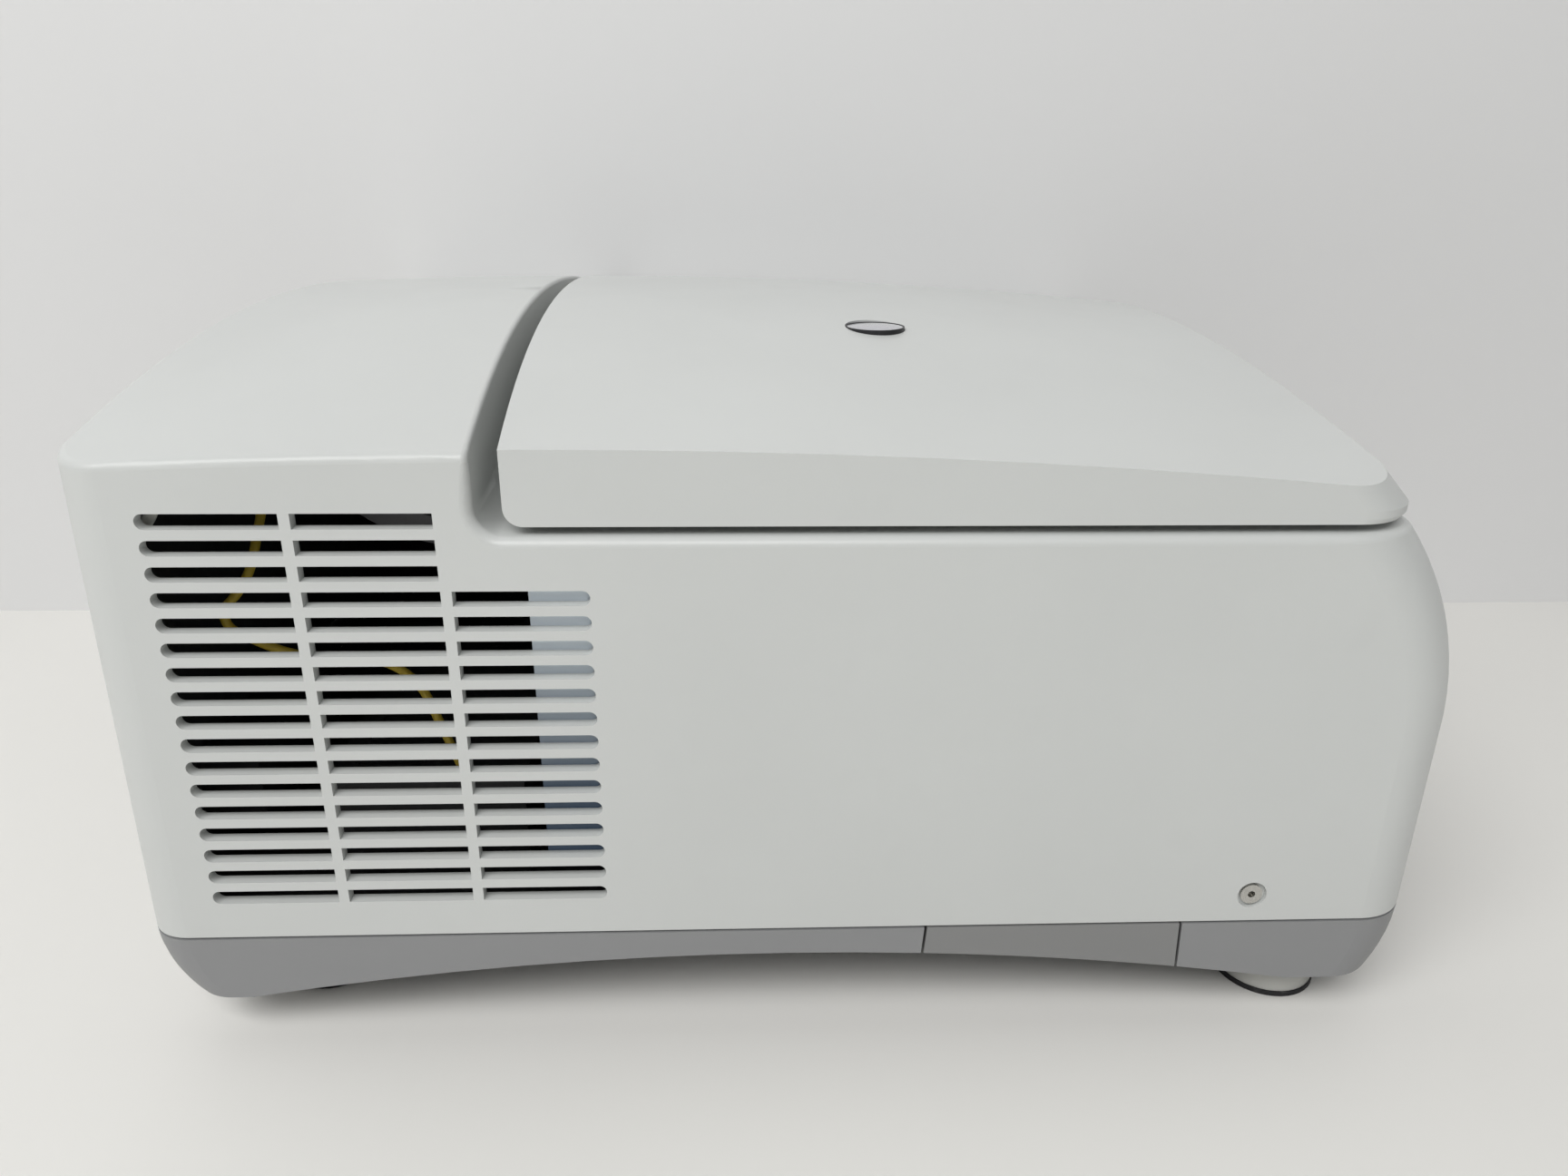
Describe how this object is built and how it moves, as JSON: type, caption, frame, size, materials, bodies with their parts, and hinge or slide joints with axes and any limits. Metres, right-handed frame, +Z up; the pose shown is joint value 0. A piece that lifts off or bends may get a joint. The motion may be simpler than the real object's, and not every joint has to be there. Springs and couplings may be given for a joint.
{
  "type": "thermal cycler",
  "caption": "Desktop rotary thermal cycler: arched two-tone casing, lifting front lid with a viewport, slotted side grilles, spinning tube rotor and heated air chamber inside.",
  "frame": {"origin": "centre of the outline at the level of the feet's undersides", "axes": "+Z up, +Y from the lid end (front) to the hood end (rear), +X to the right seen from the front"},
  "size_m": [0.37, 0.4266, 0.2235],
  "materials": {
    "case_plastic": "fine satin texture",
    "base_plastic": "fine satin texture",
    "insert_plastic": "fine satin texture",
    "foot_rubber": "matt",
    "foot_pad": "matt",
    "steel": "brushed",
    "plated_steel": "bright plated",
    "painted_steel": "fine powder coat",
    "aluminium": "machined",
    "black_plastic": "satin",
    "gloss_black": "gloss",
    "insulation_board": "rigid closed cell",
    "baffle_plastic": "satin",
    "seal_rubber": "matt",
    "lens_glass": "polished",
    "filter_metal": "black anodised",
    "brass": "turned",
    "heater_metal": "heat tinted",
    "board_green": "lacquered",
    "wire_yellow": "smooth",
    "light_lens": "clear"
  },
  "bodies": {
    "case": {"upper_case": "case_plastic", "base_tray": "base_plastic", "base_insert_left": "insert_plastic", "base_insert_right": "insert_plastic", "foot_rims": "foot_rubber", "foot_pads": "foot_pad", "foot_screws": "steel", "case_screws": "plated_steel", "chassis_plate": "painted_steel", "rear_panel": "painted_steel", "status_lights": "light_lens", "hinge_pins": "steel", "hinge_brackets": "painted_steel", "lock_solenoid": "painted_steel", "chamber_pot": "aluminium", "chamber_collar": "black_plastic", "chamber_insulation": "insulation_board", "heater_element": "heater_metal", "bearings": "steel", "bearing_housing": "aluminium", "motor_case": "painted_steel", "led_module": "aluminium", "excitation_motor": "steel", "lens_tube": "filter_metal", "detector_housing": "black_plastic", "emission_motor": "steel", "blower_housing": "black_plastic", "inlet_duct": "black_plastic", "fan_frame": "black_plastic", "fan_guard": "plated_steel", "side_baffle_left": "baffle_plastic", "side_baffle_right": "baffle_plastic", "power_supply": "painted_steel", "main_board": "board_green", "board_parts": "black_plastic", "board_standoffs": "brass", "power_inlet": "black_plastic", "data_ports": "steel", "yellow_wire": "wire_yellow"},
    "lid": {"lid_shell": "case_plastic", "lid_liner": "painted_steel", "lid_plug": "insulation_board", "lid_seal": "seal_rubber", "viewport_lens": "lens_glass", "viewport_bezel": "black_plastic", "viewport_sleeve": "black_plastic", "lid_striker": "steel", "hinge_arms": "steel"},
    "rotor": {"rotor": "aluminium", "locking_ring": "aluminium", "rotor_knob": "black_plastic", "spindle": "steel", "motor_magnet": "steel"},
    "excitation_wheel": {"excitation_wheel": "filter_metal"},
    "emission_wheel": {"emission_wheel": "filter_metal"},
    "blower_impeller": {"blower_impeller": "black_plastic"},
    "fan_impeller": {"fan_impeller": "gloss_black"},
    "power_switch": {"power_switch": "gloss_black"},
    "fuse_drawer": {"fuse_drawer": "black_plastic"},
    "lock_pin": {"lock_pin": "plated_steel"}
  },
  "joints": [
    {"name": "lid_hinge", "type": "hinge", "parent": "case", "child": "lid", "pos_m": [0, 0.1193, 0.205], "axis": [-1, 0, 0], "range_deg": [0, 80]},
    {"name": "rotor_spin", "type": "hinge", "parent": "case", "child": "rotor", "pos_m": [0, -0.0297, 0.11], "axis": [0, 0, 1], "continuous": true},
    {"name": "excitation_wheel_spin", "type": "hinge", "parent": "case", "child": "excitation_wheel", "pos_m": [0.02, -0.1077, 0.069], "axis": [0, 0, 1], "continuous": true},
    {"name": "emission_wheel_spin", "type": "hinge", "parent": "case", "child": "emission_wheel", "pos_m": [0.02, -0.1504, 0.096], "axis": [0, 1, 0], "continuous": true},
    {"name": "blower_spin", "type": "hinge", "parent": "case", "child": "blower_impeller", "pos_m": [0, 0.1383, 0.06], "axis": [0, 0, 1], "continuous": true},
    {"name": "fan_spin", "type": "hinge", "parent": "case", "child": "fan_impeller", "pos_m": [0.1, 0.1863, 0.106], "axis": [0, 1, 0], "continuous": true},
    {"name": "power_switch_rock", "type": "hinge", "parent": "case", "child": "power_switch", "pos_m": [-0.143, 0.2003, 0.074], "axis": [-1, 0, 0], "range_deg": [0, 16]},
    {"name": "fuse_drawer_slide", "type": "slide", "parent": "case", "child": "fuse_drawer", "axis": [0, 1, 0], "range_m": [0, 0.02]},
    {"name": "lock_pin_slide", "type": "slide", "parent": "case", "child": "lock_pin", "axis": [-1, 0, 0], "range_m": [0, 0.009], "stiffness_N_per_m": 60}
  ]
}
